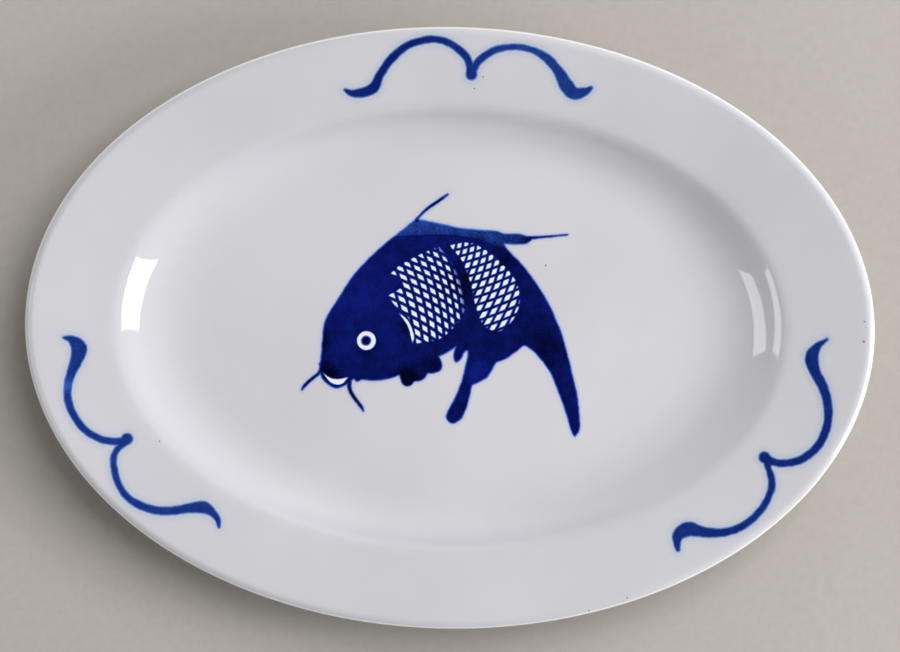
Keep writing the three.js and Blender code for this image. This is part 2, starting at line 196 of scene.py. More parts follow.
def mixed(tree, share, first, second):
    """A colour that goes from the first to the second."""
    return node(tree, "ShaderNodeMix", {0: share, 6: first, 7: second}, data_type="RGBA").outputs[2]


def feed(tree, shader, **sockets):
    """Links values to the shader's inputs, which are named with _ for a space."""
    for socket, value in sockets.items():
        tree.links.new(value, shader.inputs[socket.replace("_", " ")])


def new_material(name):
    """A material, its nodes, its shader, and the place on the platter that its patterns are laid out by."""
    material = bpy.data.materials.new(name)
    material.use_nodes = True
    tree = material.node_tree
    return material, tree, tree.nodes["Principled BSDF"], node(tree, "ShaderNodeTexCoord").outputs["Object"]


def bare_clay():
    """Matt white clay with a fine grain, and brown kiln stains where it stood on the shelf."""
    material, tree, shader, place = new_material("bare_clay")
    height = node(tree, "ShaderNodeSeparateXYZ", {0: place}).outputs["Z"]
    grain = noise(tree, place, scale=900, detail=6)
    near_shelf = ramp(tree, height, BARE_FOOT * MM, 0)
    patches = ramp(tree, noise(tree, place, scale=60, detail=3), 0.45, 0.75)
    stain = maths(tree, "MULTIPLY", near_shelf, patches)
    clay = mixed(tree, ramp(tree, grain, 0.3, 0.8, 0, 0.25), colour(222, 217, 207), colour(190, 183, 172))
    bump = node(tree, "ShaderNodeBump", {"Height": grain, "Strength": 0.5, "Distance": 0.0002})
    feed(tree, shader, Base_Color=mixed(tree, stain, clay, colour(182, 162, 138)),
         Roughness=ramp(tree, grain, 0.2, 0.8, 0.75, 0.95), Normal=bump.outputs["Normal"])
    return material


face = face_section()
under_side = offset(face, -BODY_THICKNESS)[FLOOR_RINGS:-1][::-1]
foot = [oval(FLOOR - inwards, height) for inwards, height in FOOT_PROFILE]
base_middle = oval((0, 0), FOOT_PROFILE[-1][1])
clay_section = np.vstack([face, lip_section()[1:], under_side, foot, base_middle])
body = lofted("fired_body", clay_section, BODY_GIRTH_STEPS)
body.data.materials.append(bare_clay())
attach(body, "root")
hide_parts("porcelain_body")


# The carp
# Cobalt blue painted on the fired clay with a soft brush: a dark body with white reserves for the eye,
# the mouth, the gill and two fields of net-like scales, a paler wash for the back fin, and thin strokes.

GLAZE_SEAT = 0.3  # between the clay and the glaze, where the paint lies
GLAZE_THICKNESS = 0.3
PAINT_DEPTH = 0.16  # of the paint into the glaze, which carries it up to its own surface
FADE_IN = 0.5  # inside a drawn outline, to where the paint is full
FADE_OUT = 0.45  # past the outline, to where the paint has ended
CRISPNESS = 2  # of the white reserves' edges, against the soft edges of the carp
CARP_FRINGE = 1.8  # reach of the faint blue that has bled out of the carp
BLEED_FALLOFF = 1.6  # power by which the bled cobalt thins out
CARP_GRID = 0.35  # between two points of the painted layer
GRID_BORDER = 4  # of the grid round the node's own box
LEAST_CUT = 0.03  # share of the grid's step that a layer's edge keeps from a grid point
LAYER_OVERLAP = 0.1  # of two layers whose fringes meet
FRONT_STROKE = 1.1  # of the brush, between the scales of the front field
REAR_STROKE = 0.95
COUNT_ROUNDS = 8  # to find a place in a net
LEAST_SCALE = 2  # area of the smallest scale that is counted

dorsal_seam = [
    (20.7, 28.8), (17.5, 29.2), (13.6, 30.8), (10.6, 32), (5.5, 32.9), (-1.1, 33.5), (-9.2, 33.4),
    (-17.3, 32.8), (-21.7, 32.4),
]
back = [
    (-21.7, 32.4), (-26.2, 28.5), (-33.5, 21), (-36.9, 16.6), (-40.5, 10.6), (-43.8, 5.3), (-45.5, 1.9),
    (-46.2, -1.8), (-46.7, -9.1), (-47.4, -16.7),
]
lower_lip = [
    (-47.4, -16.7), (-45.9, -19.8), (-44.2, -21.4), (-42, -22.5), (-40.3, -22.6), (-38.4, -21.9),
    (-34.7, -19.3),
]
chin = [(-34.7, -19.3), (-33.7, -20.2), (-31.5, -19.5), (-27, -19.8), (-21.5, -18.8), (-18.1, -17.5)]
breast_fin_front = [(-18.1, -17.5), (-17.4, -20), (-15.8, -21.5), (-14, -21.2), (-12.7, -19.8)]
breast_fin_middle = [(-12.7, -19.8), (-10.6, -19.6), (-8.7, -18.3), (-7.8, -16.9)]
breast_fin_rear = [(-7.8, -16.9), (-5.6, -16.6), (-3.2, -15.5), (-2.6, -13.6), (-3.9, -10.4)]
belly = [(-3.9, -10.4), (-1.5, -9.4), (0.3, -8.3), (2.2, -6.9)]
belly_fin_stub = [
    (2.2, -6.9), (1.6, -11), (2.5, -12.5), (4.1, -11.5), (5.3, -9.2), (6.4, -8.3), (6.8, -10.2),
]
belly_fin = [
    (6.8, -10.2), (4.6, -19.3), (2.2, -25.9), (-0.3, -30.7), (-0.7, -33), (1.3, -34.9), (4.3, -33.5),
    (6.2, -30), (7.6, -25), (8.4, -20.7),
]
vent_fin = [(8.4, -20.7), (10.4, -19.9), (13.7, -18), (15.1, -16), (17.1, -12.3)]
tail_lower_edge = [
    (17.1, -12.3), (20.6, -10.9), (24.6, -8), (27.3, -6.1), (29.7, -7.3), (33, -10.5), (36.8, -15.4),
    (39.9, -22.5), (42.6, -29.4), (45.5, -38), (46.4, -39),
]
tail_upper_edge = [
    (46.4, -39), (47.9, -36.5), (47.2, -25.9), (45.4, -17.8), (42.8, -8), (40.6, -1), (36.8, 7.7),
    (33, 14.1), (29.6, 19), (25.5, 23.9), (20.7, 28.8),
]
carp_runs = [
    dorsal_seam, back, lower_lip, chin, breast_fin_front, breast_fin_middle, breast_fin_rear, belly,
    belly_fin_stub, belly_fin, vent_fin, tail_lower_edge, tail_upper_edge,
]
mouth_runs = [
    [(-46.3, -17.1), (-42.8, -19.2), (-40.6, -19.4), (-36.9, -18.7)],
    [(-36.9, -18.7), (-38.6, -20.9), (-40.7, -21.5), (-43.1, -20.7), (-46.3, -17.1)],
]
gill_runs = [
    [(-18.8, 5.2), (-16.2, 3.3), (-14.5, 1), (-13.4, -1.8), (-13, -3.8), (-13.5, -5.9)],
    [(-13.5, -5.9), (-14.1, -3.8), (-14.6, -1.8), (-15.7, 0.9), (-18.8, 5.2)],
]
eye, eye_radius = (-30.4, -5.2), 3.45
pupil, pupil_radius = (-30.5, -5.2), 1.7
front_field_runs = [
    [(-4.6, 29.6), (-12, 26.3), (-19.3, 22), (-22, 19.4)],
    [(-22, 19.4), (-19.3, 18.4), (-18.2, 16.1), (-18.7, 13.9), (-22.7, 11.4)],
    [(-22.7, 11.4), (-20.6, 8.3), (-15.7, 4), (-12.9, -1.5), (-12.6, -6)],
    [
        (-12.6, -6), (-7.5, -5.2), (-3.5, -4), (-0.5, -1.8), (2, 0.9), (4, 3.9), (5.4, 7), (5.2, 11.7),
        (3.7, 16.5), (-0.9, 25.3), (-4.6, 29.6),
    ],
]
rear_field_ring = [
    (-0.3, 30.4), (6.9, 31.1), (13, 28.3), (18.4, 23.9), (23.4, 18.1), (25.4, 11.2), (23.2, 3.6),
    (17.8, -1), (12.5, 1), (9.5, 7.4), (7.4, 16), (3.8, 24.8),
]
# A net of scales: its middle, the steps along and down it, and how these fan and bend.
front_net = [(-6.45, 13.3), (3.27, -1.69), (0.95, -3.38), (-0.11, -0.06), (-0.11, -0.02), (-0.06, -0.03)]
rear_net = [(14.9, 17.6), (3.1, 1.2), (-1.11, -3.28), (0.13, -0.01), (-0.02, 0.05), (-0.11, -0.04)]
# The fin's lower edge runs under the dark paint of the body.
fin_runs = [
    [
        (-13, 39.6), (-4.1, 37.9), (3.2, 36.5), (10.6, 35.9), (16.8, 35.5), (19.4, 34.8), (24.5, 34.7),
        (29.5, 33.3),
    ],
    [(29.5, 33.3), (28.9, 32.2), (27.2, 31.1), (24, 30.9), (19.5, 30.8)],
    [(19.5, 30.8), (20.6, 28.9), (22.1, 27.1)],
    [(22.1, 27.1), (19, 27.2), (16.5, 28.1), (12.5, 29.9), (5.5, 31.6), (-9.2, 32.2), (-21.3, 31.9)],
    [(-21.3, 31.9), (-21.5, 32.5)],
    [(-21.5, 32.5), (-17.4, 36), (-13, 39.6)],
]
# Thin strokes: place, and the width that the brush was pressed to.
barbel_left = [
    (-47, -13.9, 0.9), (-46.8, -15.4, 1.0), (-47.6, -17.4, 1.1), (-49.2, -18.8, 1.0), (-51.2, -20.5, 1.0),
    (-52.8, -22.2, 0.9), (-53.6, -23.5, 0.5),
]
barbel_right = [
    (-36.2, -20.4, 1.3), (-36.4, -21.6, 1.5), (-36.2, -22.6, 1.4), (-35.6, -24.4, 1.2), (-33, -28, 1.1),
    (-31.6, -29.8, 1.0), (-31.1, -30.9, 0.5),
]
dorsal_ray = [
    (-12.8, 39.4, 0.9), (-12.1, 40.2, 0.8), (-9.7, 42.7, 0.8), (-4.3, 46.7, 0.9), (-1.6, 48.7, 0.5),
]
dorsal_streamer = [(28.3, 33.2, 1.4), (29.9, 33.4, 0.9), (35.9, 34, 0.6), (42.3, 34.7, 0.3)]
SWEEP_MIDDLE = (-28.4, 6.2)  # of the round sweep that washed over the front field's last scales
SWEEP_START = (32.1, 33)  # from that middle, to where the wash sets in and to where it is full
SWEEP_END = (36, 35.5)  # to where it has ended and to where it is still full
RESERVE_EDGE = 0.1  # each way over the carp's outline, from the glaze's tone to the reserves' white
PAINT_LOAD = (-0.1, 0.7, 0.22, 0.72)  # two depths into the paint, and how loaded the brush was there
# The fin's wash is thin, with more cobalt along the body and at its tail end. A spread is in square
# millimetres.
FIN_THINNING = 0.2
FIN_SEAM_LOAD, FIN_SEAM_SPREAD = 0.15, 2
FIN_TAIL_LOAD, FIN_TAIL_SPREAD, FIN_TAIL = 0.3, 80, 27
BODY_LIFT, STROKE_LIFT, FIN_LIFT = 0.024, 0.018, 0.012  # over the glaze, so the body's paint lies on top
# Where the brush left more cobalt or less: place, reach, and how much.
carp_washes = [
    (-33, 8, 13, -0.12), (-21, -4, 7, -0.08), (-38, -8, 6, -0.08), (-24, 22, 9, -0.06),
    (-15, -19.5, 3.6, 0.6), (-5, -14, 3.5, 0.15), (11, -16, 5, -0.2), (36, -6, 9, 0.12), (4, 16, 6, 0.2),
    (-44, -17, 3, 0.3), (-29.5, -5.6, 4.6, 0.15), (-16, 0.5, 2.4, 0.25), (20, 25.5, 3.5, 0.15),
    (-9, 31.5, 7, -0.07), (5, 31.5, 7, -0.07), (-47, -6, 3.5, 0.2), (36, 9, 3.5, -0.1),
    (41, -1, 3.5, -0.1), (45, -16, 3, -0.1), (47.5, -27, 2.5, -0.1), (-34, -26, 4.5, 0.45),
    (-51, -21, 3.5, 0.4), (-7.5, 44.5, 6.5, 0.4), (36, 34.2, 7, 0.35),
]


def smooth(points, closed=False, steps=6):
    """A soft line through the points, even where they stand unevenly."""
    p = np.asarray(points, float)
    if closed:
        p = np.vstack([p[-1], p, p[:2]])
    else:
        p = np.vstack([2 * p[0] - p[1], p, 2 * p[-1] - p[-2]])
    runs = []
    for a, b, c, d in zip(p, p[1:], p[2:], p[3:]):
        before, here, after = (np.linalg.norm(v - u) ** 0.5 + 1e-6 for u, v in ((a, b), (b, c), (c, d)))
        leaving = (b - a) / before - (c - a) / (before + here) + (c - b) / here
        arriving = (c - b) / here - (d - b) / (here + after) + (d - c) / after
        runs.append(curve(b, b + leaving * here / 3, c - arriving * here / 3, c, steps)[:-1])
    return np.vstack(runs if closed else [*runs, p[-2]])


def outline(runs):
    """A closed outline of runs that are smooth in themselves and meet at corners."""
    return np.vstack([smooth(run)[:-1] for run in runs])


def to_line(x, y, line):
    """The distance from places to a line, less half its width where its points have one."""
    nearest = np.full(x.shape, np.inf)
    for a, b in zip(line, line[1:]):
        run = b - a
        share = np.clip(((x - a[0]) * run[0] + (y - a[1]) * run[1]) / (run[0] ** 2 + run[1] ** 2), 0, 1)
        gap = np.hypot(x - a[0] - share * run[0], y - a[1] - share * run[1])
        if len(a) == 3:
            gap -= (a[2] + share * run[2]) / 2
        nearest = np.minimum(nearest, gap)
    return nearest


def to_outline(x, y, ring):
    """The distance from places to a closed outline, below zero inside it."""
    closed = np.vstack([ring, ring[0]])
    inside = np.zeros(x.shape, bool)
    for (ax, ay), (bx, by) in zip(closed, closed[1:]):
        if ay != by:
            inside ^= ((ay > y) != (by > y)) & (x < (bx - ax) * (y - ay) / (by - ay) + ax)
    gap = to_line(x, y, closed)
    return np.where(inside, -gap, gap)


def to_disc(x, y, middle, radius):
    """The distance from places to a disc, below zero inside it."""
    return np.hypot(x - middle[0], y - middle[1]) - radius


def to_net(x, y, net, stroke_width):
    """The distance from places to the strokes between scales, found by counting scales from the middle."""
    middle, along, down, fan, bend_along, bend_down = (np.array(v) for v in net)
    place = np.stack([x, y], axis=-1)
    count = (place - middle) @ np.linalg.inv(np.column_stack([along, down])).T
    for _ in range(COUNT_ROUNDS):
        a, d = count[..., :1], count[..., 1:]
        reached = middle + a * along + d * down + a * d * fan + a**2 * bend_along + d**2 * bend_down
        step_along = along + d * fan + 2 * a * bend_along
        step_down = down + a * fan + 2 * d * bend_down
        area = step_along[..., 0] * step_down[..., 1] - step_along[..., 1] * step_down[..., 0]
        area = np.minimum(area, -LEAST_SCALE)
        off = place - reached
        more_along = (off[..., 0] * step_down[..., 1] - off[..., 1] * step_down[..., 0]) / area
        more_down = (step_along[..., 0] * off[..., 1] - step_along[..., 1] * off[..., 0]) / area
        count = count + np.clip(np.stack([more_along, more_down], axis=-1), -1, 1)
    from_stroke = np.abs(count - np.floor(count) - 0.5)
    across = from_stroke[..., 0] * -area / np.linalg.norm(step_down, axis=-1)
    downwards = from_stroke[..., 1] * -area / np.linalg.norm(step_along, axis=-1)
    return np.minimum(across, downwards) - stroke_width / 2


def to_carp_body(x, y):
    """The distance from places to the carp's dark paint, with its reserves left out."""
    front_field = to_outline(x, y, outline(front_field_runs))
    front_scales = np.maximum(front_field, -to_net(x, y, front_net, FRONT_STROKE))
    rear_field = to_outline(x, y, smooth(rear_field_ring, closed=True))
    rear_scales = np.maximum(rear_field, -to_net(x, y, rear_net, REAR_STROKE))
    mouth = to_outline(x, y, outline(mouth_runs))
    gill = to_outline(x, y, outline(gill_runs))
    reserves = [front_scales, rear_scales, mouth, gill, to_disc(x, y, eye, eye_radius)]
    return np.maximum(to_outline(x, y, outline(carp_runs)), -CRISPNESS * np.minimum.reduce(reserves))


def stroke(points):
    """A function for the distance from places to a thin stroke."""
    return lambda x, y: to_line(x, y, smooth(points))


carp_shapes = {
    "body": to_carp_body,
    "dorsal_fin": lambda x, y: to_outline(x, y, outline(fin_runs)),
    "pupil": lambda x, y: to_disc(x, y, pupil, pupil_radius),
    "barbel_left": stroke(barbel_left),
    "barbel_right": stroke(barbel_right),
    "dorsal_ray": stroke(dorsal_ray),
    "dorsal_streamer": stroke(dorsal_streamer),
}


def to_carp(x, y):
    """The distance to the nearest edge of the whole carp, below zero in its paint."""
    return np.minimum.reduce([shape(x, y) for shape in carp_shapes.values()])


def carp_layer(own):
    """The edge of the layer for one part of the carp. It takes in the fringe that is nearest to the part,
    and stays close to the paint inside the body, round the white reserves."""

    def to_layer(x, y):
        to_own = own(x, y)
        to_others = np.minimum.reduce([shape(x, y) for shape in carp_shapes.values() if shape is not own])
        inside = to_outline(x, y, outline(carp_runs)) < 0
        with_fringe = to_own - np.where(inside, FADE_OUT, CARP_FRINGE)
        return np.minimum(to_own - FADE_OUT, np.maximum(with_fringe, to_own - to_others - LAYER_OVERLAP))

    return to_layer


def brush_load(washes):
    """How much more or less cobalt the brush left."""
    return lambda x, y: sum(
        amount * np.exp(-((x - wash_x) ** 2 + (y - wash_y) ** 2) / reach**2)
        for wash_x, wash_y, reach, amount in washes
    )


def fin_load(x, y):
    """A thin wash that runs into the dark paint of the body, and thickens towards its tail end."""
    above_body = np.maximum(to_outline(x, y, outline(carp_runs)), 0)
    into_body = FIN_SEAM_LOAD * np.exp(-(above_body**2) / FIN_SEAM_SPREAD)
    tail_end = FIN_TAIL_LOAD * np.exp(-((x - FIN_TAIL) ** 2) / FIN_TAIL_SPREAD)
    return into_body + tail_end - FIN_THINNING


def glazed_height(x, y, lift):
    """The height of the glazed face over places, plus a lift."""
    upper_lip = lip_section()[1 : LIP_RINGS // 2]
    section = offset(np.vstack([face, upper_lip]), GLAZE_SEAT + GLAZE_THICKNESS)[1:]
    height = np.full(x.shape, section[0, 2])
    for inner, outer in zip(section, section[1:]):
        past = np.hypot(x / inner[0], y / inner[1]) - 1
        within = 1 - np.hypot(x / outer[0], y / outer[1])
        here = (past >= 0) & (within >= 0)
        height = np.where(here, inner[2] + past / (past + within + 1e-9) * (outer[2] - inner[2]), height)
    return height + lift


def carry(piece, value_name, values):
    """Gives each point of a piece a value that its material reads."""
    kept = piece.data.attributes.new(value_name, "FLOAT", "POINT")
    kept.data.foreach_set("value", np.asarray(values, np.float32))


def painted(name, node_name, to_layer, grid, lift, **carried):
    """A thin closed layer of paint up to its edge. Its points carry values found from their place."""
    low, high = (np.array(c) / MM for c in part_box(node_name))
    spans = [np.arange(low[k] - GRID_BORDER, high[k] + GRID_BORDER + grid, grid) for k in (0, 1)]
    x, y = np.meshgrid(*spans, indexing="ij")
    beyond = to_layer(x, y)
    beyond[np.abs(beyond) < LEAST_CUT * grid] = -LEAST_CUT * grid
    inside = beyond < 0
    places = []
    numbers = {}

    def number(key, place):
        if key not in numbers:
            numbers[key] = len(places)
            places.append(place)
        return numbers[key]

    def crossing(one, two):
        a, b = sorted((one, two))
        share = beyond[a] / (beyond[a] - beyond[b])
        return number((a, b), (x[a] + share * (x[b] - x[a]), y[a] + share * (y[b] - y[a])))

    cells = []
    cut_edges = []
    touched = inside[:-1, :-1] | inside[1:, :-1] | inside[1:, 1:] | inside[:-1, 1:]
    for i, j in np.argwhere(touched).tolist():
        corners = [(i, j), (i + 1, j), (i + 1, j + 1), (i, j + 1)]
        cell = []
        exits = []
        for one, two in zip(corners, corners[1:] + corners[:1]):
            if inside[one]:
                cell.append(number(one, (x[one], y[one])))
            if inside[one] != inside[two]:
                exits += [len(cell)] if inside[one] else []
                cell.append(crossing(one, two))
        cells.append(cell)
        cut_edges += [(cell[e], cell[(e + 1) % len(cell)]) for e in exits]
    x, y = np.array(places).T
    count = len(x)
    top = np.column_stack([x, y, glazed_height(x, y, lift)])
    under = np.column_stack([x, y, glazed_height(x, y, -PAINT_DEPTH)])
    faces = cells + [[n + count for n in reversed(cell)] for cell in cells]
    faces += [(b, a, a + count, b + count) for a, b in cut_edges]
    piece = mesh_piece(name, np.vstack([top, under]), faces)
    for value_name, value in carried.items():
        carry(piece, value_name, np.tile(value(x, y), 2))
    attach(piece, "root")
    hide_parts(node_name)
    return piece


def new_group(name, outputs, inputs=()):
    """A node group with its sockets, given as pairs of a name and a kind."""
    tree = bpy.data.node_groups.new(name, "ShaderNodeTree")
    for direction, sockets in (("INPUT", inputs), ("OUTPUT", outputs)):
        for socket, kind in sockets:
            tree.interface.new_socket(socket, in_out=direction, socket_type=f"NodeSocket{kind}")
    return tree, node(tree, "NodeGroupInput").outputs, node(tree, "NodeGroupOutput").inputs


def glaze_skin():
    """The glaze's own surface: a cool white that varies a little, a fine orange peel, faint dull smears."""
    outputs = [("Color", "Color"), ("Roughness", "Float"), ("Normal", "Vector")]
    tree, _, out = new_group("glaze_skin", outputs)
    place = node(tree, "ShaderNodeTexCoord").outputs["Object"]
    height = node(tree, "ShaderNodeSeparateXYZ", {0: place}).outputs["Z"]
    cloud = ramp(tree, noise(tree, place, scale=14, detail=4), 0.3, 0.7, -0.25, 0.25)
    # The glaze's colour is set lighter down on the floor and darker up towards the rim, by height alone.
    lighter_towards_floor = ramp(tree, height, SHOULDER_HEIGHT * MM, FLOOR_HEIGHT * MM, 0.25, 0.75)
    tone = maths(tree, "ADD", lighter_towards_floor, cloud)
    tree.links.new(mixed(tree, tone, colour(202, 201, 207), colour(214, 213, 218)), out["Color"])
    smear = ramp(tree, noise(tree, place, scale=45, detail=5), 0.5, 0.8, 0.05, 0.09)
    tree.links.new(smear, out["Roughness"])
    swell = noise(tree, place, scale=35, detail=1)
    peel = maths(tree, "MULTIPLY_ADD", noise(tree, place, scale=420, detail=1), 0.05, swell)
    bump = node(tree, "ShaderNodeBump", {"Height": peel, "Strength": 0.2, "Distance": 0.0006})
    tree.links.new(bump.outputs["Normal"], out["Normal"])
    return tree


def attribute(tree, name):
    return node(tree, "ShaderNodeAttribute", attribute_name=name).outputs["Fac"]


def bled(tree, ground, distance, reach, tint, strength):
    """The ground tinted by cobalt that has bled into the glaze, up to its reach in millimetres."""
    share = maths(tree, "POWER", ramp(tree, distance, reach, 0), BLEED_FALLOFF)
    return mixed(tree, maths(tree, "MULTIPLY", share, strength), ground, tint)


def vector_maths(tree, operation, first, second, output=0):
    values = {0: first, 1: second}
    return node(tree, "ShaderNodeVectorMath", values, operation=operation).outputs[output]


def cobalt_under_glaze():
    """Cobalt over a ground: cloudy as a brush leaves it, and thin at its edge, where the ground shows."""
    colours = [("Ground", "Color"), ("Thin", "Color"), ("Deep", "Color")]
    inputs = [*colours, ("Cloud", "Float"), ("Waver", "Float")]
    tree, given, out = new_group("cobalt_under_glaze", [("Color", "Color")], inputs)
    place = node(tree, "ShaderNodeTexCoord").outputs["Object"]
    waver = maths(tree, "SUBTRACT", noise(tree, place, scale=380, detail=2), 0.5)
    strayed = maths(tree, "MULTIPLY", waver, given["Waver"])
    depth = maths(tree, "ADD", attribute(tree, "depth"), strayed)
    clouds = maths(tree, "SUBTRACT", noise(tree, place, scale=260, detail=4), 0.5)
    grain = maths(tree, "SUBTRACT", noise(tree, place, scale=1500, detail=2), 0.5)
    mottle = maths(tree, "MULTIPLY", maths(tree, "ADD", clouds, grain), given["Cloud"])
    laid = ramp(tree, depth, *PAINT_LOAD)
    loaded = maths(tree, "ADD", maths(tree, "ADD", laid, attribute(tree, "load")), mottle)
    paint = mixed(tree, ramp(tree, loaded, 0, 1), given["Thin"], given["Deep"])
    cover = ramp(tree, depth, -FADE_OUT, FADE_IN)
    let_through = vector_maths(tree, "DIVIDE", paint, given["Ground"])
    held = vector_maths(tree, "POWER", let_through, cover)
    tree.links.new(vector_maths(tree, "MULTIPLY", given["Ground"], held), out["Color"])
    return tree


def from_place(tree, place, x, y):
    """The distance in millimetres from a place on the platter, seen in plan."""
    plan = vector_maths(tree, "MULTIPLY", place, (1 / MM, 1 / MM, 0))
    return vector_maths(tree, "DISTANCE", plan, (x, y, 0), "Value")


def white_reserve():
    """The white of the reserves, with the thin cobalt swept over the last scales of the front field."""
    tree, _, out = new_group("white_reserve", [("Color", "Color")])
    place = node(tree, "ShaderNodeTexCoord").outputs["Object"]
    from_sweep = from_place(tree, place, *SWEEP_MIDDLE)
    setting_in = ramp(tree, from_sweep, *SWEEP_START, 0, 0.9)
    swept = maths(tree, "MULTIPLY", setting_in, ramp(tree, from_sweep, *SWEEP_END))
    tree.links.new(mixed(tree, swept, colour(238, 240, 243), colour(75, 105, 175)), out["Color"])
    return tree


skin = glaze_skin()
cobalt = cobalt_under_glaze()
reserve = white_reserve()


def cobalt_paint(name, thin, deep, cloud, waver, fringe):
    """Cobalt under the glaze. Cloud and waver are how uneven the brush left its tone and its edge, and the
    fringe is the reach, tint and strength of what has bled out of it."""
    material, tree, shader, _ = new_material(name)
    surface = node(tree, "ShaderNodeGroup", node_tree=skin).outputs
    outside = maths(tree, "MULTIPLY", attribute(tree, "depth"), -1)
    reserved = ramp(tree, attribute(tree, "reserve"), -RESERVE_EDGE, RESERVE_EDGE)
    ground = bled(tree, surface["Color"], outside, *fringe)
    white = node(tree, "ShaderNodeGroup", node_tree=reserve).outputs["Color"]
    values = {"Thin": thin, "Deep": deep, "Cloud": cloud, "Waver": waver}
    values["Ground"] = mixed(tree, reserved, ground, white)
    paint = node(tree, "ShaderNodeGroup", values, node_tree=cobalt).outputs["Color"]
    feed(tree, shader, Base_Color=paint, Roughness=surface["Roughness"], Normal=surface["Normal"])
    return material


carp_fringe = (CARP_FRINGE, colour(140, 166, 222), 0.42)  # reach, tint and strength
deep_cobalt = colour(1, 2, 36)
dark_cobalt = cobalt_paint(
    "dark_cobalt", colour(20, 42, 166), deep_cobalt, cloud=0.35, waver=0.5, fringe=carp_fringe
)
pale_wash = cobalt_paint(
    "pale_cobalt_wash", colour(44, 82, 190), deep_cobalt, cloud=0.65, waver=0.5, fringe=carp_fringe
)
carp_lifts = {"body": BODY_LIFT, "dorsal_fin": FIN_LIFT}
for part, shape in carp_shapes.items():
    piece = painted(
        f"painted_{part}", f"carp_{part}", carp_layer(shape), CARP_GRID, carp_lifts.get(part, STROKE_LIFT),
        depth=lambda x, y: -to_carp(x, y),
        load=fin_load if part == "dorsal_fin" else brush_load(carp_washes),
        reserve=lambda x, y: -to_outline(x, y, outline(carp_runs)),
    )
    piece.data.materials.append(pale_wash if part == "dorsal_fin" else dark_cobalt)


# The rim scrolls
# Three two-lobed scrolls, each two strokes of a round brush that start with a pressed foot and run
# together in a dot. The cobalt is thinner than on the carp, and has bled a little into the glaze.

SCROLL_GRID = 0.4
SCROLL_LIFT = 0.02  # over the glaze
SCROLL_DOT = 4.1  # diameter of the dot where the lobes meet
SCROLL_MARGIN = 0.8  # of the painted layer round a stroke
SCROLL_BLEED = (3.4, colour(130, 168, 204), 0.27)  # reach, tint and strength of the halo
SCROLL_INSET = 0.7  # of the scrolls' own line from the middle of the rim
RIM_MIDDLE = (LIP + SHOULDER) / 2 - SCROLL_INSET
RIM_STEPS = 1440  # in one turn round that line

# A scroll is its dot's angle and place, and its strokes. A point is its way along the rim's middle from
# the dot's angle, clockwise, its way out, and the stroke's width.
scrolls = {
    "top": (87.5, (0.3, -2.6), [
        [
            (-46.5, -4.9, 1), (-43.9, -6.6, 2.6), (-39.5, -6.8, 3.4), (-35.9, -5.7, 3.8),
            (-32.6, -1.2, 2.9), (-27.8, 4, 2.9), (-21.9, 8, 2.6), (-14.4, 9.6, 2.5), (-8.3, 8.4, 2.5),
            (-3.4, 5.1, 2.7), (-1.1, 2.3, 2.8), (0.1, -1.8, 2.6),
        ],
        [(0.2, -0.8, 3.6), (0.3, -2.6, 4)],
        [
            (0.5, -1.8, 2.6), (2.6, 2.3, 2.7), (5.6, 5, 2.6), (9.2, 7, 2.4), (15.3, 8.4, 2.2),
            (20.9, 8.2, 2.3), (26.3, 6.1, 3.1), (30.9, 2.6, 3.6), (35.2, -1.9, 5), (38.5, -3.8, 4.6),
            (42.2, -2.3, 3), (43.9, -0.4, 1.4),
        ],
    ]),
    "left": (209, (0.2, -5.4), [
        [
            (-47.4, -1.8, 0.9), (-45.6, -4, 2.1), (-42.1, -5.2, 3), (-38.8, -5.1, 4.3), (-34.6, -2.3, 3.5),
            (-30.6, 1.5, 3.1), (-26.3, 4.8, 3), (-20.8, 7.3, 2.8), (-15.3, 8.3, 2.6), (-9.8, 7.1, 2.4),
            (-5.3, 4.7, 2.4), (-1.5, 1.5, 2.3), (0.1, -4.4, 2.2),
        ],
        [(0, -2.8, 3.4), (0.2, -5.4, 4.1)],
        [
            (0.3, -4.4, 2.4), (2, -1.6, 2.6), (5.6, 2, 2.6), (10.5, 4.7, 2.6), (16.1, 6, 2.6),
            (21.8, 5.9, 2.7), (26.4, 4.5, 2.9), (30.8, 2, 3.3), (35.2, -1.1, 4.4), (39.6, -2.7, 5.4),
            (42.9, -0.4, 2.8), (43.8, 2.2, 1),
        ],
    ]),
    "right": (329.5, (0.2, -4.8), [
        [
            (-50.5, -1, 1), (-47.9, -4, 2.5), (-43.1, -5.7, 4.7), (-37.9, -3.5, 3.9), (-33.5, 0.4, 3.4),
            (-28.7, 3.8, 3.2), (-23.7, 6.3, 2.9), (-18.2, 7.6, 2.9), (-13, 7.5, 2.9), (-7.6, 5.6, 2.8),
            (-3.4, 2.3, 2.7), (-1.2, -0.4, 2.8), (0.1, -3.8, 2.6),
        ],
        [(0.1, -2.4, 3.4), (0.2, -4.8, 4.1)],
        [
            (0.6, -3.8, 2.2), (5.2, 3.3, 2.5), (9.2, 5.8, 2.5), (14.2, 7.5, 2.5), (19.8, 8.1, 2.7),
            (25.5, 7.3, 2.8), (30.7, 5, 3.2), (35.3, 1.7, 3.8), (39.1, -1.4, 5.2), (43.5, -1, 3.8),
            (45.6, 3.2, 1.8),
        ],
    ]),
}
# Where the brush left more cobalt or less, as on the carp.
scroll_washes = [
    (-137.1, -23.2, 2, -0.5), (-25, 93, 24, 0.22), (30, 95, 22, -0.1),
    (-125, -45, 45, -0.04), (125, -45, 45, 0.1),
]

rim_angles = np.linspace(-2 * math.pi, 4 * math.pi, 3 * RIM_STEPS + 1)
rim_line = RIM_MIDDLE * np.column_stack([np.cos(rim_angles), np.sin(rim_angles)])
rim_lengths = np.concatenate([[0], np.cumsum(np.linalg.norm(np.diff(rim_line, axis=0), axis=1))])


